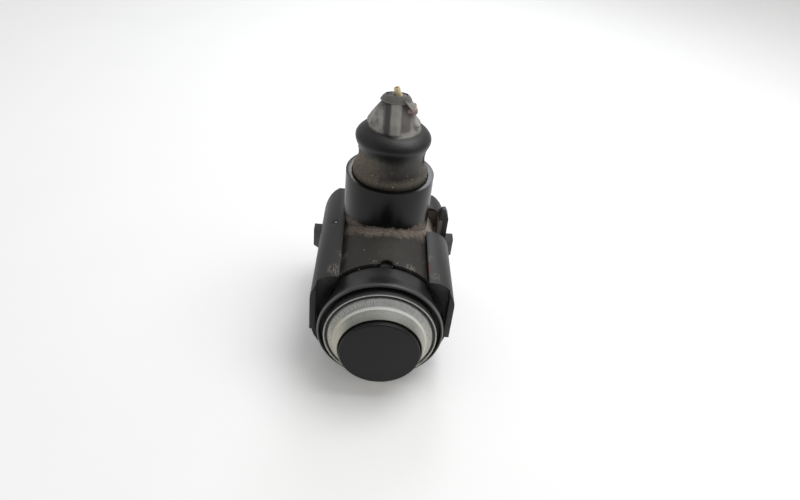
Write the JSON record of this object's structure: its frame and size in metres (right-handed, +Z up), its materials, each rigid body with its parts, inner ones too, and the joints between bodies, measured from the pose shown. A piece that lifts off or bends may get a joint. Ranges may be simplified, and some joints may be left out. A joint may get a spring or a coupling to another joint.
{
  "type": "parking sensor",
  "caption": "Ultrasonic parking sensor lying on its underside, with the dusty rubber boot of its plug in the collar and the wires cut short.",
  "frame": {"origin": "middle of the bounding box's bottom, on the surface that the sensor lies on", "axes": "+Z up along the connector collar, -Y the way the membrane looks, +X to the right seen from the front"},
  "size_m": [0.032, 0.0434, 0.0534],
  "materials": {
    "charcoal_plastic": "dusty fine grain",
    "satin_black_plastic": "satin",
    "grey_plastic": "moulded",
    "black_painted_metal": "semi-matt paint",
    "silicone": "translucent, scuffed",
    "boot_rubber": "matt, brown dust",
    "tape": "worn tape",
    "foam": "open foam",
    "felt": "pressed felt",
    "piezo_ceramic": "fired",
    "board_laminate": "solder mask",
    "black_epoxy": "moulded",
    "ferrite": "sintered",
    "copper": "enamelled copper",
    "tinned_metal": "tin plated",
    "casting_compound": "cast",
    "yellow_insulation": "faded",
    "red_insulation": "faded",
    "brown_insulation": "faded"
  },
  "bodies": {
    "root": {"housing": "charcoal_plastic", "nose_ring": "satin_black_plastic", "decoupling_ring": "silicone", "membrane_cup": "black_painted_metal", "piezo_disc": "piezo_ceramic", "damping_pad": "felt", "foam_plug": "foam", "lead_carrier": "grey_plastic", "signal_lead": "copper", "ground_lead": "copper", "circuit_board": "board_laminate", "sensor_chip": "black_epoxy", "transformer_core": "ferrite", "transformer_winding": "copper", "storage_capacitor": "tinned_metal", "filter_capacitor_1": "piezo_ceramic", "filter_capacitor_2": "piezo_ceramic", "filter_capacitor_3": "piezo_ceramic", "resistor_1": "black_epoxy", "resistor_2": "black_epoxy", "resistor_3": "black_epoxy", "connector_pin_1": "tinned_metal", "connector_pin_2": "tinned_metal", "connector_pin_3": "tinned_metal", "potting_block": "casting_compound", "base_cover": "charcoal_plastic", "plug_body": "grey_plastic", "plug_seal": "silicone", "terminal_1": "tinned_metal", "terminal_2": "tinned_metal", "terminal_3": "tinned_metal", "boot": "boot_rubber", "boot_tape": "tape", "wire_yellow": "yellow_insulation", "wire_red": "red_insulation", "wire_brown": "brown_insulation"}
  },
  "joints": []
}
